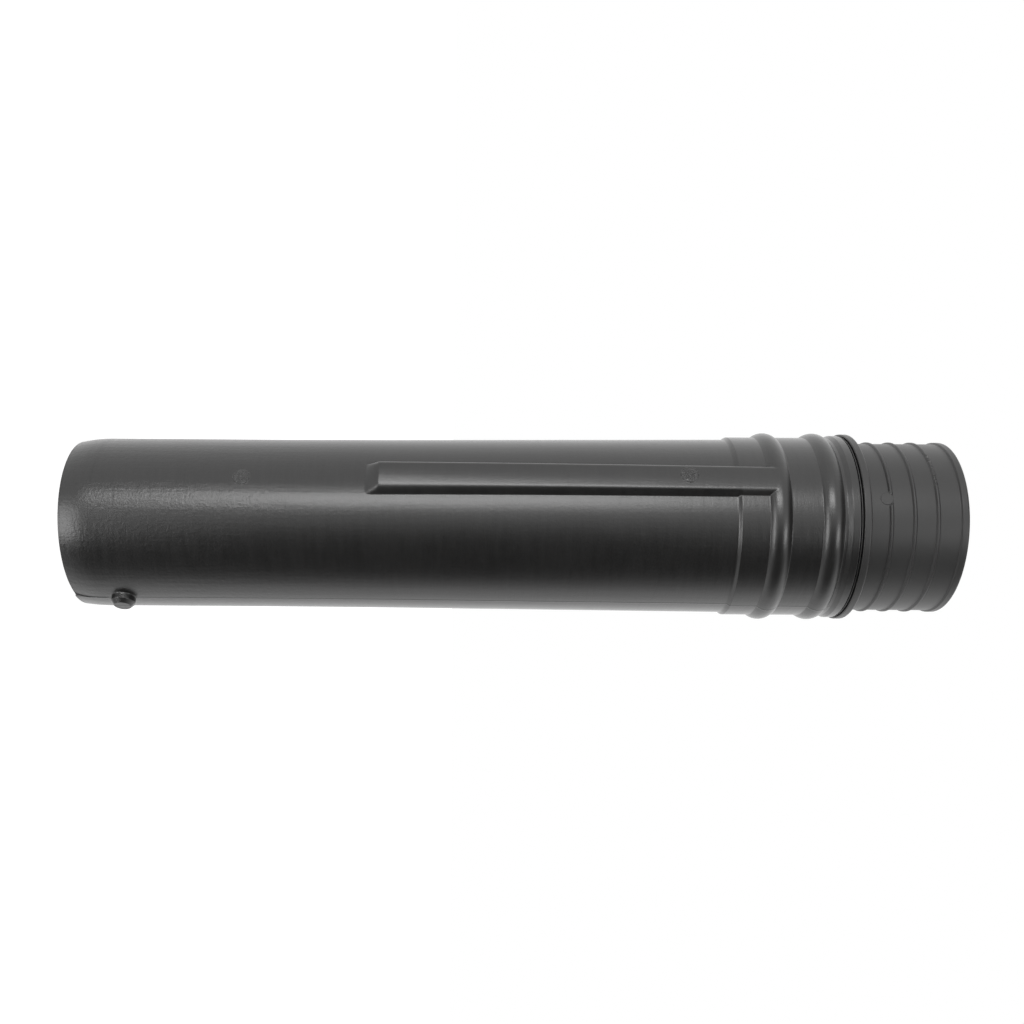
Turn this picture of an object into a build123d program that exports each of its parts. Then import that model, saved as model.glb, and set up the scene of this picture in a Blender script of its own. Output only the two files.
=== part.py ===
from build123d import *
import os
from math import pi, sqrt

# Nozzle tube of a garden leaf blower: a blow-moulded air tube with a ribbed
# hose swivel that turns in its end. Millimetres. The pieces are drawn lying
# along X, from the nozzle rim (x = 0) to the hose end, with their angles
# measured from Z towards Y. At the end they are stood on the nozzle rim, with
# X pointing up and the side at angle 0 facing the front, along -Y.

# Tube body: its length and its skin, from the nozzle end
wall = 2.0
tube_length = 358.4
nozzle_r = 40.05
rim_land = 0.4
rim_round = 1.3
lead_in_length = 13.0
lead_in_drop = 1.35
mouth_step = 1.05
mouth_depth = 8.0
nozzle_length = 100.0
waist_length = 50.0
waist_rise = 0.2
taper_rise = 1.1

# Collar at the hose end, with its two rolled beads, measured back from the tube's end
step_back = 53.6
step_width = 1.2
step_height = 1.15
bead_1_back = 35.1
bead_1_width = 9.7
bead_1_height = 2.1
bead_2_back = 11.6
bead_2_width = 9.5
bead_2_height = 2.04
bead_foot_round = 0.6
end_band_width = 5.5
end_band_rise = 1.0
end_band_slope = 2.1
end_round = 0.4

# Rail along the tube, with one side and its end bevelled; it points the way
# the mould opens, and its sides are measured across the pull
mould_angle = 25.0
rail_start = 137.7
rail_ramp = 6.2
rail_height = 2.5
rail_rise = 1.3
rail_high_side = 8.45
rail_low_side = -3.7
rail_foot_side = -6.6
rail_drift = -1.7
rail_edge_round = 0.5

# Round pips on the parting line that lock a push-on nozzle
pip_at = 23.0
pip_r = 5.5
pip_height = 4.4
pip_edge_round = 1.7
pip_foot_round = 0.5
dimple_r = 3.4
dimple_draft = 0.8

# Swivel: a sleeve inside the collar, a flange, and a ribbed hose spigot
turn_clearance = 0.35
face_gap = 1.3
sleeve_length = 26.4
sleeve_wall = 2.65
sleeve_chamfer = 0.8
snap_height = 1.4
snap_land = 1.6
snap_slope = 1.1
flange_rise = 0.7
flange_width = 3.6
flange_face_round = 0.5
flange_round = 1.0
spigot_length = 44.7
spigot_wall = 2.35
spigot_root = 0.6
rib_height = 0.75
rib_base = 2.0
rib_land = 0.7
rib_offset = 9.9
rib_pitch = 10.45
rib_count = 3
band_width = 3.8
band_slope = 0.6
hose_end_round = 1.0
gate_offset = 8.1
gate_angle = 14.5
gate_r = 3.1
gate_height = 0.2

# Places and radii that follow
waist_start = nozzle_length + waist_length
step_start = tube_length - step_back
step_end = step_start + step_width
bead_1_at = tube_length - bead_1_back
bead_2_at = tube_length - bead_2_back
end_band_at = tube_length - end_band_width
waist_r = nozzle_r + waist_rise
step_foot_r = waist_r + taper_rise
collar_r = step_foot_r + step_height
seat_r = collar_r - wall
end_r = collar_r + end_band_rise
mouth_r = nozzle_r - wall - mouth_step
rim_r = mouth_r + rim_land
rim_back_r = nozzle_r - lead_in_drop
rail_top_r = waist_r + rail_height


def bead_arc(at, foot_r, width, height, inset=0.0, floor_r=None):
    """Start, crest and end of a rolled bead: a round arc, or its inner face, inset by the wall."""
    radius = (width ** 2 / 4 + height ** 2) / (2 * height)
    centre_r = foot_r + height - radius
    base_r = foot_r if floor_r is None else floor_r
    half = sqrt((radius - inset) ** 2 - (base_r - centre_r) ** 2)
    crest_r = centre_r + radius - inset
    return (at - half, base_r), (at, crest_r), (at + half, base_r)


def revolved(*edges):
    """The solid of revolution about X of a closed outline drawn in the plane of x and radius."""
    return revolve(make_face(Curve() + list(edges)), Axis.X, 360)


def arc(points):
    return ThreePointArc(*points)


def around(solid, angle):
    """Turns a solid about the tube's axis, from straight up to its angle."""
    return Rot(-angle, 0, 0) * solid


# Tube body: the outer skin, then the inner one, drawn end to end
bead_1 = bead_arc(bead_1_at, collar_r, bead_1_width, bead_1_height)
bead_2 = bead_arc(bead_2_at, collar_r, bead_2_width, bead_2_height)
groove_1 = bead_arc(bead_1_at, collar_r, bead_1_width, bead_1_height, wall, seat_r)
groove_2 = bead_arc(bead_2_at, collar_r, bead_2_width, bead_2_height, wall, seat_r)
half_turn = sqrt(0.5)
rim_middle = (rim_round * (1 - half_turn), rim_r + (rim_back_r - rim_r) * half_turn)
outer_skin = [
    Line((0, mouth_r), (0, rim_r)),
    arc([(0, rim_r), rim_middle, (rim_round, rim_back_r)]),
    Polyline((rim_round, rim_back_r), (lead_in_length, nozzle_r), (nozzle_length, nozzle_r),
             (waist_start, waist_r), (step_start, step_foot_r), (step_end, collar_r), bead_1[0]),
    arc(bead_1),
    Line(bead_1[2], bead_2[0]),
    arc(bead_2),
    Polyline(bead_2[2], (end_band_at, collar_r), (end_band_at + end_band_slope, end_r),
             (tube_length, end_r), (tube_length, seat_r), groove_2[2]),
]
inner_skin = [
    arc(groove_2[::-1]),
    Line(groove_2[0], groove_1[2]),
    arc(groove_1[::-1]),
    Polyline(groove_1[0], (step_end, seat_r), (step_start, step_foot_r - wall),
             (waist_start, waist_r - wall), (nozzle_length, nozzle_r - wall),
             (lead_in_length, nozzle_r - wall), (mouth_depth, mouth_r), (0, mouth_r)),
]
tube = revolved(*outer_skin, *inner_skin)

bead_feet = [edge for edge in tube.edges().filter_by(GeomType.CIRCLE)
             if abs(edge.radius - collar_r) < 0.01
             and min(abs(edge.arc_center.X - foot[0])
                     for foot in (bead_1[0], bead_1[2], bead_2[0])) < 0.01]
tube = fillet(bead_feet, bead_foot_round)
end_edge = tube.edges().filter_by(GeomType.CIRCLE).filter_by(
    lambda edge: abs(edge.arc_center.X - tube_length) < 0.01 and abs(edge.radius - end_r) < 0.01)
tube = fillet(end_edge, end_round)


# Rail: a bevelled bar under a cone that ramps up, then rises slowly to the first bead
rail_end = bead_1_at
rail_end_r = rail_top_r + rail_rise


def rail_section(inset, top_r, drift):
    """Outline across the rail, seen along X, with the mould's pull pointing up."""
    low_height = sqrt((top_r - inset) ** 2 - rail_low_side ** 2)
    slope = (rail_low_side - rail_foot_side) / (
        sqrt(rail_top_r ** 2 - rail_low_side ** 2) - sqrt(waist_r ** 2 - rail_foot_side ** 2))
    over = 3.0
    under = rail_height + wall / 2
    low = rail_low_side + inset + drift
    high = rail_high_side - inset + drift
    return [(high, low_height - under), (high, low_height + over),
            (low + over * slope, low_height + over), (low - under * slope, low_height - under)]


def rail_bar(inset):
    """The rail as a bar along X: whole, or inset by the wall for the hollow behind it."""
    start = rail_start - wall
    sections = []
    for x, top_r, drift in ((start, rail_top_r, 0.0), (rail_end, rail_end_r, rail_drift)):
        outline = rail_section(inset, top_r, drift)
        sections.append(make_face(Polyline(*[(x, t, m) for t, m in outline], close=True)))
    bar = loft(sections, ruled=True)
    ramp_drop = wall * rail_height / rail_ramp
    cone = revolved(Polyline((start + inset, 0), (start + inset, waist_r - ramp_drop - inset),
                             (rail_start + rail_ramp + inset, rail_top_r - inset),
                             (rail_end, rail_end_r - inset), (rail_end, 0), close=True))
    return bar & cone


rail = rail_bar(0.0)
rail_ramp_face, rail_top = rail.faces().filter_by(GeomType.CONE).sort_by(Axis.X)
soft_edges = [edge for edge in rail_top.edges() if edge.center().X < rail_end - 0.01]
soft_edges += [edge for edge in rail_ramp_face.edges() if abs(edge.tangent_at(0.5).X) > 0.2]
rail = fillet(soft_edges, rail_edge_round)
tube = tube + around(rail, mould_angle)
tube = tube - around(rail_bar(wall), mould_angle)

# Pips, one on each side of the tube where the mould's halves meet
pip_top = nozzle_r + pip_height
pip = Pos(pip_at, 0, nozzle_r - wall) * extrude(Circle(pip_r), pip_height + wall)
pip = fillet(pip.faces().sort_by(Axis.Z)[-1].edges(), pip_edge_round)
dimple_foot = nozzle_r - 2 * wall
dimple_depth = pip_top - wall - dimple_foot
dimple = Pos(pip_at, 0, dimple_foot + dimple_depth / 2) * Cone(
    dimple_r, dimple_r - dimple_draft, dimple_depth)
for side_angle in (mould_angle - 90, mould_angle + 90):
    tube = tube + around(pip, side_angle)
    tube = tube - around(dimple, side_angle)
pip_feet = [edge for edge in tube.edges().filter_by(GeomType.BSPLINE)
            if abs(edge.center().X - pip_at) < 2 * pip_r and abs(edge.length - 2 * pi * pip_r) < 0.5]
tube = fillet(pip_feet, pip_foot_round)

# Swivel: sleeve, snap ring, flange and ribbed spigot, turned about X
sleeve_r = seat_r - turn_clearance
sleeve_start = tube_length - sleeve_length
sleeve_bore_r = sleeve_r - sleeve_wall
snap_r = sleeve_r + snap_height
snap_half = snap_land / 2
flange_r = end_r + flange_rise
flange_start = tube_length + face_gap
flange_end = flange_start + flange_width
spigot_r = sleeve_bore_r + spigot_wall
rib_r = spigot_r + rib_height
hose_end = flange_end + spigot_length
band_start = hose_end - band_width

outline = [(sleeve_start, sleeve_bore_r), (sleeve_start, sleeve_r - sleeve_chamfer),
           (sleeve_start + sleeve_chamfer, sleeve_r),
           (bead_2_at - snap_half - snap_slope, sleeve_r), (bead_2_at - snap_half, snap_r),
           (bead_2_at + snap_half, snap_r), (bead_2_at + snap_half + snap_slope, sleeve_r),
           (flange_start, sleeve_r), (flange_start, flange_r),
           (flange_end, flange_r), (flange_end, spigot_r)]
for index in range(rib_count):
    rib_at = flange_end + rib_offset + index * rib_pitch
    outline += [(rib_at - rib_base / 2, spigot_r), (rib_at - rib_land / 2, rib_r),
                (rib_at + rib_land / 2, rib_r), (rib_at + rib_base / 2, spigot_r)]
outline += [(band_start, spigot_r), (band_start + band_slope, rib_r),
            (hose_end, rib_r), (hose_end, sleeve_bore_r)]
swivel = revolved(Polyline(*outline, close=True))


def ring_edges(solid, x, radius):
    """The circular edge of a turned solid at one place along X and one radius."""
    return [edge for edge in solid.edges().filter_by(GeomType.CIRCLE)
            if abs(edge.arc_center.X - x) < 0.01 and abs(edge.radius - radius) < 0.01]


swivel = fillet(ring_edges(swivel, flange_start, flange_r), flange_face_round)
swivel = fillet(ring_edges(swivel, flange_end, flange_r), flange_round)
swivel = fillet(ring_edges(swivel, flange_end, spigot_r), spigot_root)
swivel = fillet(ring_edges(swivel, hose_end, rib_r), hose_end_round)

# Gate mark of the swivel's mould: a low round land that breaks the first rib
gate_at = flange_end + gate_offset
gate_post = Pos(gate_at, 0, sleeve_bore_r + wall / 2) * extrude(Circle(gate_r), rib_height + wall)
gate_skin = revolved(Polyline((flange_end, spigot_r + gate_height), (flange_end, flange_r),
                              (gate_at + 2 * gate_r, flange_r),
                              (gate_at + 2 * gate_r, spigot_r + gate_height), close=True))
gate_land = revolved(Polyline((flange_end, spigot_r - wall / 2), (flange_end, spigot_r + gate_height),
                              (gate_at + 2 * gate_r, spigot_r + gate_height),
                              (gate_at + 2 * gate_r, spigot_r - wall / 2), close=True))
swivel = swivel - (around(gate_post, gate_angle) & gate_skin)
swivel = swivel + (around(gate_post, gate_angle) & gate_land)

# Stood on the nozzle rim, as it rests on a bench without rolling away
upright = Plane(origin=(0, 0, 0), x_dir=(0, 0, 1), z_dir=(0, -1, 0))

os.makedirs("parts", exist_ok=True)
for name, drawn in (("blower_tube", tube), ("hose_swivel", swivel)):
    solid = upright.location * drawn
    export_step(solid, f"parts/{name}.step")
    print(name, "volume", round(solid.volume), "solids", len(solid.solids()))
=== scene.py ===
from math import asin, atan2, ceil, cos, pi, radians, sin, sqrt, tan

import bmesh
import bpy
from mathutils import Matrix, Vector


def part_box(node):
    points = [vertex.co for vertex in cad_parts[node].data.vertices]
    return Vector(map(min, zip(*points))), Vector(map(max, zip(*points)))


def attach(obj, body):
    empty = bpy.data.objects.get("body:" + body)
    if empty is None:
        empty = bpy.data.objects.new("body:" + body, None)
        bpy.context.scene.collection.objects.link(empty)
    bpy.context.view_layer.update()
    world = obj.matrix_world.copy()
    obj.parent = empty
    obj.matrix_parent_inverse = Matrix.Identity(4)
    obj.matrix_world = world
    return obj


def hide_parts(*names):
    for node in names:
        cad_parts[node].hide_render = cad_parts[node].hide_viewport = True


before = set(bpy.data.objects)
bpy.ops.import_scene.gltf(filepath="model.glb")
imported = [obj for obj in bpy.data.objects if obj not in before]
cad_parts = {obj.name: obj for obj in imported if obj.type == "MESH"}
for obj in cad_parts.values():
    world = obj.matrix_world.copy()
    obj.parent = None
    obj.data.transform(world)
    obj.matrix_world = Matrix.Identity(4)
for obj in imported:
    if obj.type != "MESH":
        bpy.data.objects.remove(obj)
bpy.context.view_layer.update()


# Blower tube
# The long air pipe of a garden leaf blower, blow-moulded in black polypropylene.
# A bevelled rail runs up it to the first of two rolled beads on the hose end's collar,
# and a round pip stands on each side near the nozzle rim, on the mould's parting line.
mm = 0.001
wall = 2.0
tube_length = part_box("blower_tube")[1].z / mm
nozzle_r = 40.05
mouth_r = 37.0
rim_round = 1.3
lead_in_length = 7.0
lead_in_drop = 1.62
lead_in_curve = 62.0
mouth_depth = 8.0
mouth_back = 13.0
mouth_chamfer = 0.15
nozzle_length = 100.0
waist_at = 150.0
waist_r = 40.25
step_at = 304.5
step_foot_r = 41.35
step_width = 1.5
step_foot_round = 1.9
step_edge_round = 0.7
collar_r = 42.5
seat_r = collar_r - wall
seat_chamfer = 0.2
bead_1_at = tube_length - 35.1
bead_1_width = 9.7
bead_1_height = 2.06
bead_1_steps = 28
bead_2_at = tube_length - 11.6
bead_2_width = 9.5
bead_2_height = 2.04
bead_foot_round = 0.6
end_band_at = tube_length - 5.5
end_band_slope = 2.1
end_r = 43.5
edge_round = 0.4
mould_angle = radians(25.0)
rail_start = 137.5
rail_ramp = 6.1
rail_height = 2.5
rail_rise = 1.7
rail_high_side = 8.85
rail_low_side = -3.95
rail_bevel_width = 3.0
rail_bevel_narrows = 1.2
rail_tilt = 6.6
rail_tilt_fades = 5.8
rail_pivot = 2.0
rail_drift = -1.95
rail_drift_power = 1.6
rail_edge_round = 2.2
rail_wall_lean = 0.02
rail_reach = 6.0
rail_side_strip = 2.4
pip_at = 23.0
pip_r = 5.5
pip_top_r = 44.45
pip_crown_r = 3.9
pip_crown_height = 1.9
pip_crown_flat = 1.4
pip_shoulder_round = 0.5
pip_crown_round = 0.45
pip_foot_round = 0.5
pip_foot_strip = 1.6
pip_skin_rise = 0.6
pip_patch = 9.0
dimple_r = 3.4
dimple_draft = 0.8
dimple_round = 0.5
sharp_from = radians(32)
pipe_mark_at = (-18.2, -35.7, 81.7)
rail_mark_at = (-19.9, -38.9, 282.9)
collar_mark_at = (-1.0, -42.5, 343.2)
witness_marks = ((pipe_mark_at, 3.7, 0.5), (pipe_mark_at, 1.8, 1.9),
                 (rail_mark_at, 3.8, 0.5), (rail_mark_at, 1.8, 1.9),
                 (collar_mark_at, 0.0, 0.6))


def rounded(corners, longest=4.5, hold=0.3, arc_turn=radians(11), arc_step=1.3, least_turn=0.02):
    """Points of an outline of (height, radius, corner round): arcs at its corners, straights divided."""
    places = [Vector(corner[:2]) for corner in corners]
    points = [places[0]]
    for before, here, after, corner in zip(places, places[1:], places[2:], corners[1:]):
        back, ahead = (before - here).normalized(), (after - here).normalized()
        turn = pi - back.angle(ahead)
        arc_r = corner[2]
        if arc_r == 0 or turn < least_turn:
            points.append(here)
            continue
        centre = here + (back + ahead).normalized() * arc_r / cos(turn / 2)
        start = here + back * arc_r * tan(turn / 2) - centre
        end = here + ahead * arc_r * tan(turn / 2) - centre
        steps = max(2, ceil(turn / arc_turn), ceil(turn * arc_r / arc_step))
        points += [centre + (start * sin(turn * (1 - k / steps)) + end * sin(turn * k / steps)) / sin(turn)
                   for k in range(steps + 1)]
    points.append(places[-1])
    outline = [points[0]]
    for a, b in zip(points, points[1:]):
        run = (b - a).length
        if run > 4 * hold:
            parts = ceil((run - 2 * hold) / longest)
            outline += [a.lerp(b, (hold + (run - 2 * hold) * k / parts) / run) for k in range(parts + 1)]
        outline.append(b)
    return outline


def bead(at, foot_r, width, height, inset=0.0, steps=18):
    """Outline of a rolled bead from foot to foot: a round arc, or its inner face inset by the wall."""
    radius = (width ** 2 / 4 + height ** 2) / (2 * height)
    centre_r = foot_r + inset + height - radius
    half = asin(sqrt((radius - inset) ** 2 - (foot_r - centre_r) ** 2) / (radius - inset))
    turns = [half * (2 * k / steps - 1) for k in range(steps + 1)]
    foot_rounds = [bead_foot_round] + [0] * (steps - 1) + [bead_foot_round]
    return [(at + (radius - inset) * sin(turn), centre_r + (radius - inset) * cos(turn), foot_round)
            for turn, foot_round in zip(turns, foot_rounds)]


def skin_r(height):
    """Radius of the plain pipe's outer skin at one height, from the pips to the step."""
    if height < waist_at:
        return nozzle_r + (waist_r - nozzle_r) * max(height - nozzle_length, 0) / (waist_at - nozzle_length)
    return waist_r + (step_foot_r - waist_r) * (height - waist_at) / (step_at - waist_at)


def ramp_rows(inset, before=0.9, after=1.5, gap=0.3):
    """Close rows of the skin where the rail's end ramps up."""
    first, last = rail_start + inset - before, rail_start + inset + rail_ramp + after
    rows = ceil((last - first) / gap)
    heights = [first + (last - first) * k / rows for k in range(rows + 1)]
    return [(height, skin_r(height) - inset, 0) for height in heights]


def pip_rows(inset, rows=12):
    """Rows of the skin beside the pips, whose first and last bound the patch that carries each pip."""
    heights = [pip_at - pip_patch + 2 * pip_patch * k / rows for k in range(rows + 1)]
    return [(height, nozzle_r - inset, 0) for height in heights]


outer_skin = rounded(
    [(0, mouth_r + mouth_chamfer, 0), (0, nozzle_r - lead_in_drop, rim_round),
     (lead_in_length, nozzle_r, lead_in_curve)]
    + pip_rows(0.0) + [(nozzle_length, nozzle_r, 0)] + ramp_rows(0.0)
    + [(waist_at, waist_r, 0), (step_at, step_foot_r, step_foot_round),
       (step_at + step_width, collar_r, step_edge_round)]
    + bead(bead_1_at, collar_r, bead_1_width, bead_1_height, steps=bead_1_steps)
    + bead(bead_2_at, collar_r, bead_2_width, bead_2_height)
    + [(end_band_at, collar_r, edge_round), (end_band_at + end_band_slope, end_r, edge_round),
       (tube_length, end_r, edge_round), (tube_length, seat_r + seat_chamfer, 0)])
inner_skin = rounded(
    [(tube_length - seat_chamfer, seat_r, 0)]
    + bead(bead_2_at, seat_r, bead_2_width, bead_2_height, wall)[::-1]
    + bead(bead_1_at, seat_r, bead_1_width, bead_1_height, wall)[::-1]
    + [(step_at + step_width, seat_r, edge_round), (step_at, step_foot_r - wall, edge_round),
       (waist_at, waist_r - wall, 0)]
    + ramp_rows(wall)[::-1] + [(nozzle_length, nozzle_r - wall, 0)] + pip_rows(wall)[::-1]
    + [(mouth_back, nozzle_r - wall, edge_round), (mouth_depth, mouth_r, edge_round),
       (mouth_chamfer, mouth_r, 0)])


def eased(start, end, steps):
    """Values from start to end that lie closer together near both."""
    return [start + (end - start) * (1 - cos(pi * k / steps)) / 2 for k in range(steps + 1)]


def even(start, end, steps):
    """Values between start and end, both left out."""
    return [start + (end - start) * k / steps for k in range(1, steps)]


# How many lengthwise lines each strip of the skin has: beside the rail, on its bevel, top and
# round edge, beside a parting line, between the rail and a parting line, and over the back.
side_lines, bevel_lines, top_lines, edge_lines = 5, 9, 16, 6
seam_lines, near_lines, back_lines = 7, 22, 52


def tube_columns(height, radius, inset):
    """Angles of the pipe's lengthwise lines: they follow the rail's edges and the parting line."""
    along = min(max((height - rail_start) / (bead_1_at - rail_start), 0), 1)
    low, high = (side + rail_drift * along ** rail_drift_power for side in
                 (rail_low_side + inset, rail_high_side - inset))
    foot = low - rail_bevel_width + rail_bevel_narrows * along
    flat_end = high - rail_edge_round
    across = (eased(foot - rail_side_strip, foot, side_lines)[:-1] + eased(foot, low, bevel_lines)[:-1]
              + eased(low, flat_end, top_lines)[:-1]
              + [flat_end + rail_edge_round * sin(pi / 2 * k / edge_lines) for k in range(edge_lines + 1)]
              + eased(high + rail_wall_lean, high + rail_side_strip, side_lines))
    rail = [mould_angle + asin(side / radius) for side in across]
    seam = [asin(pip_patch * (k / seam_lines) ** 3 / radius) for k in range(-seam_lines, seam_lines + 1)]
    near, far = mould_angle + pi / 2, mould_angle + 3 * pi / 2
    return (rail + even(rail[-1], near + seam[0], near_lines) + [near + turn for turn in seam]
            + even(near + seam[-1], far + seam[0], back_lines) + [far + turn for turn in seam]
            + even(far + seam[-1], rail[0] + 2 * pi, near_lines))


def turned(outline, columns):
    """Vertices and quads of a closed outline of (height, radius) carried round the upright axis."""
    vertices, faces = [], []
    for place, angles in zip(outline, columns):
        vertices += [(-place.y * sin(angle), -place.y * cos(angle), place.x) for angle in angles]
    rows, count = len(outline), len(columns[0])
    for row in range(rows):
        above = (row + 1) % rows
        for column in range(count):
            beside = (column + 1) % count
            faces.append((row * count + column, above * count + column,
                          above * count + beside, row * count + beside))
    return vertices, faces


tube_columns_by_row = [tube_columns(place.x, place.y, 0.0) for place in outer_skin]
tube_columns_by_row += [tube_columns(place.x, place.y, wall) for place in inner_skin]
tube_vertices, tube_faces = turned(outer_skin + inner_skin, tube_columns_by_row)
column_count = len(tube_columns_by_row[0])


def quarter(steps):
    """Angles of a quarter turn, both ends in."""
    return [pi / 2 * k / steps for k in range(steps + 1)]


def pip_rings(inset):
    """Rings of a pip's patch, to its middle: (ring radius, height, whether the height is above the skin)."""
    if inset:
        mouth = [(dimple_r + dimple_round * (1 - sin(turn)), dimple_round * (1 - cos(turn)), True)
                 for turn in quarter(3)]
        depth, floor_r = pip_top_r - wall, dimple_r - dimple_draft
        end = [(floor_r - dimple_round * (1 - cos(turn)), depth - dimple_round * (1 - sin(turn)), False)
               for turn in quarter(3)]
        return [(pip_r, 0, True)] + mouth + end
    foot = [(pip_r + pip_foot_round * (1 - sin(turn)), pip_foot_round * (1 - cos(turn)), True)
            for turn in quarter(4)]
    crown = rounded([(nozzle_r + pip_skin_rise, pip_r, 0),
                     (pip_top_r - pip_crown_height, pip_r, pip_shoulder_round),
                     (pip_top_r, pip_crown_r, pip_crown_round), (pip_top_r, pip_crown_flat, 0)])
    return [(pip_r + pip_foot_strip, 0, True)] + foot + [(place.y, place.x, False) for place in crown[1:]]


def carry_pip(angle, inset, same=1e-3):
    """Swaps the skin's quads round a pip for rings that run from them up the pip, or into its hollow."""
    skin_start = len(outer_skin) if inset else 0
    skin = inner_skin if inset else outer_skin
    edge_rows = [skin_start + row for row, place in enumerate(skin)
                 if abs(abs(place.x - pip_at) - pip_patch) < same and abs(place.y - nozzle_r + inset) < same]
    bottom, top = min(edge_rows), max(edge_rows)
    angles = tube_columns_by_row[bottom]
    half = asin(pip_patch / (nozzle_r - inset))
    first = min(range(column_count), key=lambda column: abs(angles[column] - angle + half))
    last = min(range(column_count), key=lambda column: abs(angles[column] - angle - half))
    rows, columns = range(bottom, top), range(first, last)
    for row in rows:
        for column in columns:
            tube_faces[row * column_count + column] = None
    loop = ([row * column_count + first for row in rows]
            + [top * column_count + column for column in columns]
            + [row * column_count + last for row in range(top, bottom, -1)]
            + [bottom * column_count + column for column in range(last, first, -1)])
    out, side = Vector((-sin(angle), -cos(angle), 0)), Vector((-cos(angle), sin(angle), 0))
    turns = [atan2(tube_vertices[vertex][2] - pip_at, Vector(tube_vertices[vertex]).dot(side))
             for vertex in loop]
    for ring_r, height, above_skin in pip_rings(inset):
        ring = []
        for turn in turns:
            across, up = ring_r * cos(turn), ring_r * sin(turn)
            reach = height + sqrt((nozzle_r - inset) ** 2 - across ** 2) if above_skin else height
            ring.append(len(tube_vertices))
            tube_vertices.append(tuple(out * reach + side * across + Vector((0, 0, pip_at + up))))
        for k in range(len(loop)):
            after = (k + 1) % len(loop)
            tube_faces.append((loop[k], loop[after], ring[after], ring[k]))
        loop = ring
    tube_vertices.append(tuple(out * height + Vector((0, 0, pip_at))))
    for k in range(len(loop)):
        tube_faces.append((loop[k], loop[(k + 1) % len(loop)], len(tube_vertices) - 1))


for pip_angle in (mould_angle + pi / 2, mould_angle + 3 * pi / 2):
    carry_pip(pip_angle, 0.0)
    carry_pip(pip_angle, wall)


def make_object(name, vertices, faces):
    """An object of millimetre vertices, at the origin."""
    mesh = bpy.data.meshes.new(name)
    mesh.from_pydata([Vector(vertex) * mm for vertex in vertices], [], [face for face in faces if face])
    made = bpy.data.objects.new(name, mesh)
    bpy.context.collection.objects.link(made)
    return made


class Signal:
    """An output of a node tree: sums, products and comparisons of signals add their Math nodes."""

    def __init__(self, tree, output=None):
        self.tree = tree
        self.output = output

    def node(self, kind, settings=None, sockets=None, out=0):
        """A new node's output: its settings are set first, then the values or links of its sockets."""
        made = self.tree.nodes.new(kind)
        for name, value in (settings or {}).items():
            setattr(made, name, value)
        for name, value in (sockets or {}).items():
            if isinstance(value, Signal):
                self.tree.links.new(value.output, made.inputs[name])
            else:
                made.inputs[name].default_value = value
        return Signal(self.tree, made.outputs[out]) if made.outputs else Signal(self.tree)

    def math(self, operation, *values):
        return self.node("ShaderNodeMath", {"operation": operation}, dict(enumerate(values)))

    def __add__(self, other):
        return self.math("ADD", self, other)

    __radd__ = __add__

    def __sub__(self, other):
        return self.math("SUBTRACT", self, other)

    def __rsub__(self, other):
        return self.math("SUBTRACT", other, self)

    def __mul__(self, other):
        return self.math("MULTIPLY", self, other)

    __rmul__ = __mul__

    def __truediv__(self, other):
        return self.math("DIVIDE", self, other)

    def __lt__(self, other):
        return self.math("LESS_THAN", self, other)

    def __gt__(self, other):
        return self.math("GREATER_THAN", self, other)

    def __abs__(self):
        return self.math("ABSOLUTE", self)

    def root(self):
        return self.math("SQRT", self.math("MAXIMUM", self, 0.0))

    def least(self, other, soft=0.0):
        return self.math("SMOOTH_MIN", self, other, soft) if soft else self.math("MINIMUM", self, other)

    def most(self, other, soft=0.0):
        return self.math("SMOOTH_MAX", self, other, soft) if soft else self.math("MAXIMUM", self, other)

    def ramp(self, start, end):
        """0 before start and 1 after end, with a soft change between them."""
        return self.node("ShaderNodeMapRange", {"interpolation_type": "SMOOTHSTEP"},
                         {"Value": self, "From Min": start, "From Max": end})


def new_tree(name, sizes):
    """A Geometry Nodes tree whose named inputs are the sizes, and the signals of those inputs."""
    tree = bpy.data.node_groups.new(name, "GeometryNodeTree")
    tree.interface.new_socket("Geometry", in_out="INPUT", socket_type="NodeSocketGeometry")
    for label in sizes:
        tree.interface.new_socket(label, in_out="INPUT", socket_type="NodeSocketFloat")
    tree.interface.new_socket("Material", in_out="INPUT", socket_type="NodeSocketMaterial")
    tree.interface.new_socket("Geometry", in_out="OUTPUT", socket_type="NodeSocketGeometry")
    entry = tree.nodes.new("NodeGroupInput")
    return Signal(tree), {output.name: Signal(tree, output) for output in entry.outputs if output.name}


def close_tree(geometry, material):
    """Ends a tree: its instances made real and the material given to them."""
    real = geometry.node("GeometryNodeRealizeInstances", None, {"Geometry": geometry})
    coated = geometry.node("GeometryNodeSetMaterial", None, {"Geometry": real, "Material": material})
    coated.node("NodeGroupOutput", None, {"Geometry": coated})


def finished_mesh(target, tree, values, sharp_angle):
    """Runs the tree on the object with these input values, and leaves it as a plain smooth mesh."""
    modifier = target.modifiers.new(tree.name, "NODES")
    modifier.node_group = tree
    for item in tree.interface.items_tree:
        if item.in_out == "INPUT" and item.name in values:
            modifier[item.identifier] = values[item.name]
    evaluated = target.evaluated_get(bpy.context.evaluated_depsgraph_get())
    made = bpy.data.meshes.new_from_object(evaluated)
    target.modifiers.remove(modifier)
    target.data = made
    made.shade_smooth()
    made.set_sharp_from_angle(angle=sharp_angle)


def new_material(name):
    """A material with an empty tree, and the first signal to build it from."""
    material = bpy.data.materials.new(name)
    material.use_nodes = True
    material.node_tree.nodes.clear()
    return material, Signal(material.node_tree)


def noise(place, scale, detail=2.0, rough=0.5, stretch=(1, 1, 1)):
    """Noise on object coordinates: scale gives its cells per metre, stretch draws them out along an axis."""
    squeezed = place.node("ShaderNodeMapping", None, {"Vector": place, "Scale": stretch})
    return place.node("ShaderNodeTexNoise", None,
                      {"Vector": squeezed, "Scale": scale, "Detail": detail, "Roughness": rough})


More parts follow.
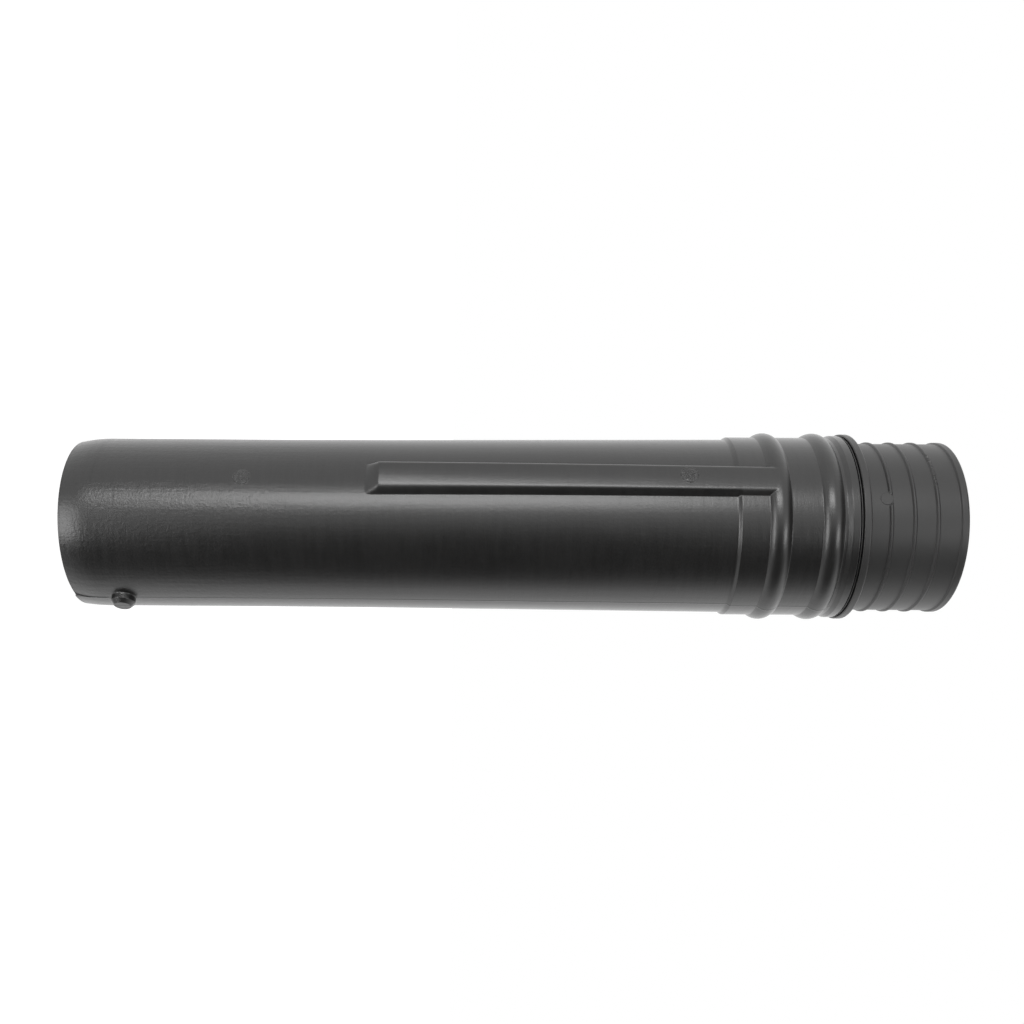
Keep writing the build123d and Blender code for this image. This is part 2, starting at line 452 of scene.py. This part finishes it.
def blend_colours(amount, first, second):
    """A colour between two plain ones, by an amount from 0 to 1."""
    return amount.node("ShaderNodeMix", {"data_type": "RGBA"},
                       {0: amount, 6: (*first, 1), 7: (*second, 1)}, out=2)


# Black polypropylene as it leaves the blow mould: fine streaks round the pipe, a slight orange
# peel, mottle and drag marks that thicken toward the nozzle, and the mould's round, worn witness marks.
tube_plastic, start = new_material("black_blow_moulded_plastic")
place = start.node("ShaderNodeTexCoord", out="Object")
streaks = noise(place, scale=420, detail=3, rough=0.6, stretch=(0.16, 0.16, 1))
cloud = noise(place, scale=22, detail=3, rough=0.55)
scuffs = noise(place, scale=900, detail=2, rough=0.6, stretch=(1, 1, 0.12)).ramp(0.62, 0.74)
peel = noise(place, scale=1500, detail=2, rough=0.5)
mottle = noise(place, scale=620, detail=3, rough=0.65)
speckle = noise(place, scale=1050, detail=2, rough=0.6).ramp(0.38, 0.62)
drags = noise(place, scale=480, detail=2, rough=0.6, stretch=(1, 1, 0.05))
handled_from, handled_to, least_handled = 50 * mm, 170 * mm, 0.30
up_the_pipe = start.node("ShaderNodeSeparateXYZ", None, {"Vector": place}, out="Z")
near_nozzle = least_handled + (1 - least_handled) * (1.0 - up_the_pipe.ramp(handled_from, handled_to))
rings = []
for mark_at, ring_r, ring_width in witness_marks:
    away = start.node("ShaderNodeVectorMath", {"operation": "DISTANCE"}, {
        0: place, 1: tuple(distance * mm for distance in mark_at)}, out="Value")
    rings.append((1.0 - abs(away - ring_r * mm) / (ring_width * mm)).most(0.0))
witness = sum(rings[1:], rings[0])
deep_black, worn_black = (0.0086, 0.0084, 0.0082), (0.0122, 0.0119, 0.0117)
shade = blend_colours((streaks * 0.6 + cloud * 0.4).ramp(0.35, 0.65), deep_black, worn_black)
gloss = 0.255 + streaks * 0.04 + cloud * 0.03 + scuffs * 0.05 + mottle * near_nozzle * 0.05
relief = start.node("ShaderNodeBump", None, {
    "Strength": 1.0, "Distance": 0.05 * mm,
    "Height": peel * 0.4 + streaks * 1.3 + near_nozzle * (mottle * 2.0 + drags * 1.4)
    + witness * (0.2 + 6.0 * speckle)})
tube_shader = start.node("ShaderNodeBsdfPrincipled", None, {
    "Base Color": shade, "Roughness": gloss, "IOR": 1.54, "Normal": relief})
start.node("ShaderNodeOutputMaterial", None, {"Surface": tube_shader})

# The mould's work on the turned pipe: the rail rises along the mould's pull, flash stands along
# the parting line, and at the rim one mould half sits a little proud of the other.
pipe_margin = 0.2
pip_margin = 0.5
feature_sizes = {
    "Rail start": rail_start * mm, "Rail end": bead_1_at * mm, "Ramp length": rail_ramp * mm,
    "Pipe radius": waist_r * mm, "Rail height": rail_height * mm, "Rail rise": rail_rise * mm,
    "High side": rail_high_side * mm, "Low side": rail_low_side * mm, "Drift": rail_drift * mm,
    "Bevel width": rail_bevel_width * mm, "Bevel narrows": rail_bevel_narrows * mm,
    "Top tilt": rail_tilt * mm, "Tilt fades": rail_tilt_fades * mm, "Tilt pivot": rail_pivot * mm,
    "Edge round": rail_edge_round * mm, "Low edge blend": 1.5 * mm, "Ramp blend": 0.12,
    "Foot blend": 0.3 * mm, "Waviness": 0.10 * mm, "Waves per metre": 26.0,
    "Flash at the rim": 0.25 * mm, "Flash along the pipe": 0.08 * mm, "Flash width": 0.25 * mm,
    "Flash from": 0.5 * mm, "Flash to": (end_band_at - 1.0) * mm, "Mould step at the rim": 0.75 * mm,
    "Mould step along the pipe": 0.05 * mm, "Mould step length": 17.0 * mm,
    "Mould step edge": 0.25 * mm, "Mould step thins": 14.0 * mm, "Mould step ends": 36.0 * mm}
start, size = new_tree("mould_features", feature_sizes)
here = start.node("GeometryNodeInputPosition")
x, y, z = (start.node("ShaderNodeSeparateXYZ", None, {"Vector": here}, out=axis) for axis in range(3))
pull = (-sin(mould_angle), -cos(mould_angle))
aside = (-cos(mould_angle), sin(mould_angle))
lift = x * pull[0] + y * pull[1]
side = x * aside[0] + y * aside[1]
radius = (x * x + y * y).root()
inset = start.node("GeometryNodeInputNamedAttribute", {"data_type": "FLOAT"}, {"Name": "inset"})
along = ((z - size["Rail start"]) / (size["Rail end"] - size["Rail start"])).most(0.0).least(1.0)
drift = start.math("POWER", along, rail_drift_power) * size["Drift"]
high = size["High side"] - inset + drift
low = size["Low side"] + inset + drift
top_r = size["Pipe radius"] + size["Rail height"] + along * size["Rail rise"] - inset
low_height = (top_r * top_r - low * low).root()
past = (side - high + size["Edge round"]).most(0.0)
round_drop = size["Edge round"] - (size["Edge round"] * size["Edge round"] - past * past).root()
tilt = (size["Top tilt"] - along * size["Tilt fades"]).most(0.0)
pivot = low + size["Tilt pivot"]
pivot_height = (top_r * top_r - pivot * pivot).root()
top = (pivot_height + (top_r * top_r - (side - tilt) * (side - tilt)).root()
       - (top_r * top_r - (pivot - tilt) * (pivot - tilt)).root() - round_drop)
bevel_width = size["Bevel width"] - along * size["Bevel narrows"]
foot = low - bevel_width
skin = radius.least(collar_r * mm - inset)
bevel_slope = (low_height - (skin * skin - foot * foot).root()) / bevel_width
bevel = low_height + (side - low) * bevel_slope
risen = ((z - size["Rail start"] - inset) / size["Ramp length"]).least(1.0, size["Ramp blend"]).least(1.0)
rail = (lift + (top - lift) * risen).least(bevel, size["Low edge blend"])
on_rail = ((side < high + rail_wall_lean / 2 * mm) * (side > low - rail_reach * mm)
           * (z < size["Rail end"]) * (lift > 0.0) * (z > size["Rail start"] - rail_reach * mm))
raised = (lift.most(rail, size["Foot blend"]) - lift) * on_rail
outside = inset < wall / 2 * mm
near_rim = 1.0 - z.ramp((pip_at - pip_patch) * mm, (pip_at - pip_r) * mm)
flash_height = (size["Flash along the pipe"]
                + near_rim * (size["Flash at the rim"] - size["Flash along the pipe"]))
flash = ((1.0 - abs(lift) / size["Flash width"]).most(0.0) * flash_height * outside
         * (z < size["Flash to"]) * (z > size["Flash from"]))
waves = start.node("ShaderNodeTexNoise", None, {
    "Vector": here, "Scale": size["Waves per metre"], "Detail": 1.0})
swell = (waves - 0.5) * size["Waviness"] * (radius < (collar_r - pipe_margin) * mm)
at_rim = (1.0 - z / size["Mould step length"]).most(0.0)
behind = 0.0 - lift
mould_step = ((size["Mould step along the pipe"] + at_rim * at_rim * size["Mould step at the rim"])
              * behind.ramp(0.0, size["Mould step edge"])
              * (1.0 - behind.ramp(size["Mould step thins"], size["Mould step ends"]))
              * outside * (z < step_at * mm) * (radius < (nozzle_r + pip_margin) * mm))
outward = (flash + swell + mould_step) / radius
offset = start.node("ShaderNodeCombineXYZ", None, {
    "X": raised * pull[0] + outward * x, "Y": raised * pull[1] + outward * y})
moved = start.node("GeometryNodeSetPosition", None, {"Geometry": size["Geometry"], "Offset": offset})
close_tree(moved, size["Material"])

blower_tube = make_object("blower_tube_skin", tube_vertices, tube_faces)
inset_values = blower_tube.data.attributes.new("inset", "FLOAT", "POINT").data
for index, vertex in enumerate(blower_tube.data.vertices):
    row = index // column_count
    inside = len(outer_skin) <= row < len(outer_skin) + len(inner_skin)
    inset_values[index].value = wall * mm if inside else 0.0
finished_mesh(blower_tube, start.tree, {**feature_sizes, "Material": tube_plastic}, sharp_from)
blower_tube.data.attributes.remove(blower_tube.data.attributes["inset"])
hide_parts("blower_tube")
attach(blower_tube, "tube")


# Hose swivel
# The ribbed spigot that the hose pushes on, injection-moulded in duller black plastic.
# Its sleeve is pushed into the tube's collar, where its snap ring runs in the hollow of
# the second bead, so that the hose can turn. Ribs round the spigot hold the hose.
sleeve_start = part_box("hose_swivel")[0].z / mm
hose_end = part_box("hose_swivel")[1].z / mm
bore_r = 37.5
bore_chamfer = 0.2
sleeve_r = 40.15
sleeve_chamfer = 0.8
snap_r = 41.55
snap_half = 0.8
snap_slope = 1.1
snap_round = 0.2
face_gap = 1.3
flange_width = 3.6
flange_start = tube_length + face_gap
flange_end = flange_start + flange_width
flange_r = 44.2
shoulder_r = 43.2
shoulder_start = flange_start - 0.88
shoulder_end = flange_start - 0.42
shoulder_round = 0.1
flange_face_round = 0.5
flange_round = 1.0
spigot_r = 39.85
spigot_root = 0.6
rib_height = 0.75
rib_base = 2.0
rib_land = 0.7
rib_offset = 9.9
rib_pitch = 10.45
rib_count = 3
rib_round = 0.25
rib_root = 0.4
band_start = hose_end - 3.8
band_slope = 0.6
band_round = 0.3
hose_end_round = 1.0
gate_at = flange_end + 8.1
gate_angle = radians(14.5)
gate_r = 3.1
gate_height = 0.16
gate_root = 0.6

swivel_skin = rounded(
    [(sleeve_start, bore_r + bore_chamfer, 0), (sleeve_start, sleeve_r, sleeve_chamfer),
     (bead_2_at - snap_half - snap_slope, sleeve_r, snap_round),
     (bead_2_at - snap_half, snap_r, snap_round), (bead_2_at + snap_half, snap_r, snap_round),
     (bead_2_at + snap_half + snap_slope, sleeve_r, snap_round),
     (shoulder_start, sleeve_r, 0), (shoulder_start, shoulder_r, shoulder_round),
     (shoulder_end, shoulder_r, shoulder_round), (shoulder_end, sleeve_r, 0),
     (flange_start, sleeve_r, 0), (flange_start, flange_r, flange_face_round),
     (flange_end, flange_r, flange_round), (flange_end, spigot_r, spigot_root),
     (band_start, spigot_r, band_round), (band_start + band_slope, spigot_r + rib_height, band_round),
     (hose_end, spigot_r + rib_height, hose_end_round), (hose_end, bore_r, edge_round),
     (sleeve_start, bore_r, 0)])
swivel_steps = 168
swivel_angles = [2 * pi * k / swivel_steps for k in range(swivel_steps)]
swivel_vertices, swivel_faces = turned(swivel_skin, [swivel_angles] * len(swivel_skin))


def low_land(angle, height, land_r, under_r, top_r, steps=40):
    """A low round land on a pipe: its rings lie on the pipe's curve, from under the skin to its middle."""
    vertices, faces = [], []
    out, side = Vector((-sin(angle), -cos(angle), 0)), Vector((-cos(angle), sin(angle), 0))
    edge = (top_r - under_r) / 2
    rings = [(land_r, under_r), (land_r, top_r - edge), (land_r - edge, top_r), (land_r / 2, top_r)]
    turns = [2 * pi * k / steps for k in range(steps)]
    for ring_r, on_r in rings:
        for turn in turns:
            across = ring_r * cos(turn)
            reach = sqrt(on_r ** 2 - across ** 2)
            vertices.append(tuple(out * reach + side * across + Vector((0, 0, height + ring_r * sin(turn)))))
    vertices += [tuple(out * under_r + Vector((0, 0, height))), tuple(out * top_r + Vector((0, 0, height)))]
    bottom, crown = len(vertices) - 2, len(vertices) - 1
    for k in range(steps):
        after = (k + 1) % steps
        faces.append((after, k, bottom))
        for ring in range(len(rings) - 1):
            faces.append((ring * steps + k, ring * steps + after,
                          (ring + 1) * steps + after, (ring + 1) * steps + k))
        faces.append(((len(rings) - 1) * steps + k, (len(rings) - 1) * steps + after, crown))
    return vertices, [face[::-1] for face in faces]


land_vertices, land_faces = low_land(
    gate_angle, gate_at, gate_r, spigot_r - gate_root, spigot_r + gate_height)
swivel_faces += [tuple(len(swivel_vertices) + vertex for vertex in face) for face in land_faces]
swivel_vertices += land_vertices

# The duller moulding: an even spark-eroded grain, a little paler than the tube.
swivel_plastic, start = new_material("black_injection_moulded_plastic")
place = start.node("ShaderNodeTexCoord", out="Object")
grain = noise(place, scale=2600, detail=2, rough=0.6)
cloud = noise(place, scale=30, detail=3, rough=0.55)
dull_black, pale_black = (0.0145, 0.0143, 0.0141), (0.0195, 0.0192, 0.0190)
shade = blend_colours((grain * 0.3 + cloud * 0.7).ramp(0.35, 0.65), dull_black, pale_black)
gloss = 0.40 + grain * 0.06 + cloud * 0.04
relief = start.node("ShaderNodeBump", None, {"Strength": 0.3, "Distance": 0.04 * mm, "Height": grain})
swivel_shader = start.node("ShaderNodeBsdfPrincipled", None, {
    "Base Color": shade, "Roughness": gloss, "IOR": 1.52, "Normal": relief})
start.node("ShaderNodeOutputMaterial", None, {"Surface": swivel_shader})

# Hose ribs: one turned ring, repeated up the spigot. The gate mark flattens the first,
# and the last is worn away in dashes where the hose clip has rubbed.
rib_at = flange_end + rib_offset
rib_floor_r = spigot_r - rib_root
rib_outline_gap = 0.01
rib_outline = rounded(
    [(rib_at, rib_floor_r, 0), (rib_at - rib_base / 2, rib_floor_r, 0), (rib_at - rib_base / 2, spigot_r, 0),
     (rib_at - rib_land / 2, spigot_r + rib_height, rib_round),
     (rib_at + rib_land / 2, spigot_r + rib_height, rib_round), (rib_at + rib_base / 2, spigot_r, 0),
     (rib_at + rib_base / 2, rib_floor_r, 0), (rib_at + rib_outline_gap, rib_floor_r, 0)])
rib_steps = 360
rib_sharp_from = radians(40)
rib_angles = [2 * pi * k / rib_steps for k in range(rib_steps)]
rib_vertices, rib_faces = turned(rib_outline, [rib_angles] * len(rib_outline))
rib_sizes = {
    "Pitch": rib_pitch * mm, "Spigot radius": spigot_r * mm, "Gate place": gate_at * mm,
    "Gate radius": gate_r * mm, "Gate height": gate_height * mm, "Wear depth": 0.45 * mm,
    "Wear start": 22.0, "Wear end": 52.0, "Wear fades": 3.0, "Dashes per degree": 0.55}
start, size = new_tree("hose_ribs", rib_sizes)
line = start.node("GeometryNodeMeshLine", {"mode": "OFFSET"}, {
    "Count": rib_count, "Offset": start.node("ShaderNodeCombineXYZ", None, {"Z": size["Pitch"]})})
rings = start.node("GeometryNodeInstanceOnPoints", None, {"Points": line, "Instance": size["Geometry"]})
rings = start.node("GeometryNodeRealizeInstances", None, {"Geometry": rings})
here = start.node("GeometryNodeInputPosition")
x, y, z = (start.node("ShaderNodeSeparateXYZ", None, {"Vector": here}, out=axis) for axis in range(3))
radius = (x * x + y * y).root()
across = x * -cos(gate_angle) + y * sin(gate_angle)
facing = x * -sin(gate_angle) + y * -cos(gate_angle)
from_gate = (across * across + (z - size["Gate place"]) * (z - size["Gate place"])).root()
in_gate = (from_gate < size["Gate radius"]) * (facing > 0.0)
over_gate = (radius - size["Spigot radius"] - size["Gate height"] * 0.5).most(0.0) * in_gate
degrees_round = start.math("ARCTAN2", 0.0 - x, 0.0 - y) * (180 / pi)
last_rib = z > (rib_at + 1.5 * rib_pitch) * mm
dashes = start.node("ShaderNodeTexNoise", {"noise_dimensions": "1D"}, {
    "W": degrees_round, "Scale": size["Dashes per degree"], "Detail": 1.0}).ramp(0.44, 0.56)
in_wear = (degrees_round.ramp(size["Wear start"], size["Wear start"] + size["Wear fades"])
           * (1.0 - degrees_round.ramp(size["Wear end"] - size["Wear fades"], size["Wear end"])))
above_spigot = radius > size["Spigot radius"] + 0.1 * mm
worn = last_rib * in_wear * dashes * size["Wear depth"] * above_spigot
inward = (over_gate + worn) / radius
offset = start.node("ShaderNodeCombineXYZ", None, {"X": 0.0 - inward * x, "Y": 0.0 - inward * y})
moved = start.node("GeometryNodeSetPosition", None, {"Geometry": rings, "Offset": offset})
close_tree(moved, size["Material"])
ribs = make_object("hose_ribs", rib_vertices, rib_faces)
finished_mesh(ribs, start.tree, {**rib_sizes, "Material": swivel_plastic}, rib_sharp_from)

hose_swivel = make_object("hose_swivel_moulding", swivel_vertices, swivel_faces)
hose_swivel.data.materials.append(swivel_plastic)
moulding = bmesh.new()
moulding.from_mesh(hose_swivel.data)
moulding.from_mesh(ribs.data)
moulding.to_mesh(hose_swivel.data)
moulding.free()
bpy.data.objects.remove(ribs)
hose_swivel.data.shade_smooth()
hose_swivel.data.set_sharp_from_angle(angle=sharp_from)
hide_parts("hose_swivel")
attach(hose_swivel, "swivel")


# Photo table
# A plain white polished table top under the standing tube, which keeps the tube's soft shadow.
# The tube's own gloss sees it as plain white from above and as a mirror at a flat angle, with a
# painted sheen on the camera's side: a glowing patch, no lamp, that shows in the slopes that face down.
floor_reach = 6.0
# Painted sheen: a patch of the table that glows in the tube's gloss, standing in for lamp light.
painted_sheen_angle = radians(-5)
painted_sheen_spread = radians(34)
painted_sheen_core = radians(8)
painted_sheen_strength = 7.5
painted_sheen_starts = (0.17, 0.28)
painted_sheen_stops = (0.37, 0.52)
painted_sheen_narrows = 0.07
far_range = (0.2, 0.6)
mirror_starts = (0.05, 0.20)
table_white = 0.8
table_glow = 0.7
floor_mesh = bpy.data.meshes.new("table_top")
floor_corners = ((-1, -1), (1, -1), (1, 1), (-1, 1))
floor_mesh.from_pydata([(floor_reach * a, floor_reach * b, 0) for a, b in floor_corners], [], [(0, 1, 2, 3)])
table_top = bpy.data.objects.new("table_top", floor_mesh)
bpy.context.collection.objects.link(table_top)
table_finish, start = new_material("white_table")
light_path = start.tree.nodes.new("ShaderNodeLightPath")
rays = {output.name: Signal(start.tree, output) for output in light_path.outputs}
matt = start.node("ShaderNodeBsdfDiffuse", None, {"Color": (table_white, table_white, table_white, 1)})
glow = start.node("ShaderNodeEmission", None, {"Color": (1, 1, 1, 1), "Strength": table_glow})
white = start.node("ShaderNodeEmission", None, {"Color": (1, 1, 1, 1), "Strength": 1.0})
mirror = start.node("ShaderNodeBsdfGlossy", None, {"Color": (1, 1, 1, 1), "Roughness": 0.0})
slant = start.node("ShaderNodeLayerWeight", None, {"Blend": 0.5}, out="Facing")
polish = start.node("ShaderNodeMixShader", None, {0: slant.ramp(*mirror_starts), 1: white, 2: mirror})
back_along_ray = start.node("ShaderNodeNewGeometry", out="Incoming")
flat_ray = start.node("ShaderNodeVectorMath", {"operation": "MULTIPLY"}, {
    0: back_along_ray, 1: (-1, -1, 0)}, out="Vector")
level_ray = start.node("ShaderNodeVectorMath", {"operation": "NORMALIZE"}, {0: flat_ray}, out="Vector")
toward_painted_sheen = start.node("ShaderNodeVectorMath", {"operation": "DOT_PRODUCT"}, {
    0: level_ray, 1: (-sin(painted_sheen_angle), -cos(painted_sheen_angle), 0)}, out="Value")
floor_place = start.node("ShaderNodeNewGeometry", out="Position")
from_tube = start.node("ShaderNodeVectorMath", {"operation": "LENGTH"}, {0: floor_place}, out="Value")
far_out = from_tube.ramp(*far_range)
# The painted sheen's mask and glow: light painted onto the table, seen only in the tube's gloss.
in_painted_sheen = (toward_painted_sheen.ramp(cos(painted_sheen_spread), cos(painted_sheen_core)) * slant.ramp(*painted_sheen_starts)
            * (1.0 - (slant + painted_sheen_narrows * far_out).ramp(*painted_sheen_stops)))
painted_sheen = start.node("ShaderNodeEmission", None, {"Color": (1, 1, 1, 1), "Strength": painted_sheen_strength})
polish = start.node("ShaderNodeMixShader", None, {0: in_painted_sheen, 1: polish, 2: painted_sheen})
lit = start.node("ShaderNodeAddShader", None, {0: matt, 1: glow})
seen = start.node("ShaderNodeMixShader", None, {0: rays["Is Camera Ray"], 1: matt, 2: lit})
through = start.node("ShaderNodeMixShader", None, {0: rays["Is Transmission Ray"], 1: seen, 2: white})
final = start.node("ShaderNodeMixShader", None, {0: rays["Is Glossy Ray"], 1: through, 2: polish})
start.node("ShaderNodeOutputMaterial", None, {"Surface": final})
floor_mesh.materials.append(table_finish)


# Studio light
# A white room behind and beside the tube, darker on the camera's side and overhead, and two
# soft boxes in front that draw the highlights along the tube and on its beads.
shade_angle = radians(-47)
shade_core = radians(14)
shade_spread = radians(62)
ceiling_shade = (0.75, 0.95)
darkest_room, room_light = 0.03, 1.44
plain_light = 0.6
world = bpy.data.worlds.new("studio")
bpy.context.scene.world = world
world.use_nodes = True
world.node_tree.nodes.clear()
start = Signal(world.node_tree)
light_path = start.tree.nodes.new("ShaderNodeLightPath")
rays = {output.name: Signal(start.tree, output) for output in light_path.outputs}
toward = start.node("ShaderNodeTexCoord", out="Generated")
shade_side = (-sin(shade_angle), -cos(shade_angle), 0.0)
toward_shade = start.node("ShaderNodeVectorMath", {"operation": "DOT_PRODUCT"}, {
    0: toward, 1: shade_side}, out="Value")
in_shade = toward_shade.ramp(cos(shade_spread), cos(shade_core))
overhead = start.node("ShaderNodeSeparateXYZ", None, {"Vector": toward}, out="Z").ramp(*ceiling_shade)
room = darkest_room + room_light * (1.0 - in_shade) * (1.0 - overhead)
strength = (rays["Is Camera Ray"] + rays["Is Glossy Ray"] * room + rays["Is Transmission Ray"]
            + rays["Is Diffuse Ray"] * plain_light)
background = start.node("ShaderNodeBackground", None, {"Color": (1, 1, 1, 1), "Strength": strength})
start.node("ShaderNodeOutputWorld", None, {"Surface": background})


def soft_box(name, angle, rise, width, tall, radiance, aim, distance=3.0):
    """A soft box that faces the tube at a height, turned round it by an angle and raised by another."""
    lamp = bpy.data.lights.new(name, "AREA")
    lamp.shape = "RECTANGLE"
    lamp.size, lamp.size_y = width, tall
    lamp.energy = radiance * pi * width * tall
    made = bpy.data.objects.new(name, lamp)
    out = Vector((-sin(angle) * cos(rise), -cos(angle) * cos(rise), sin(rise)))
    made.location = out * distance + Vector((0, 0, aim))
    made.rotation_euler = out.to_track_quat("Z", "Y").to_euler()
    made.visible_camera = False
    bpy.context.collection.objects.link(made)


soft_box("key_box", radians(29), 0.0, width=0.80, tall=0.92, radiance=8.8, aim=0.48)
soft_box("upper_box", radians(-16), radians(39.5), width=0.85, tall=0.95, radiance=6.0, aim=0.19)


# Camera
# Level with the tube's middle and turned on its side, so that the standing tube lies
# across the picture with its nozzle rim to the left.
camera = bpy.data.cameras.new("camera")
camera.lens = 37.97
camera.sensor_width = 36.0
camera.shift_x = 0.0278
camera.shift_y = 0.0903
camera_place = (0.0385, -0.5219, 0.1911)
camera_object = bpy.data.objects.new("camera", camera)
roll = radians(0.38)
picture_right = Vector((0, 0, 1)) * cos(roll) + Vector((-1, 0, 0)) * sin(roll)
picture_up = Vector((-1, 0, 0)) * cos(roll) - Vector((0, 0, 1)) * sin(roll)
turn = Matrix((picture_right, picture_up, Vector((0, -1, 0)))).transposed()
camera_object.rotation_euler = turn.to_euler()
camera_object.location = camera_place
bpy.context.collection.objects.link(camera_object)
bpy.context.scene.camera = camera_object
bpy.context.scene.view_settings.view_transform = "Standard"
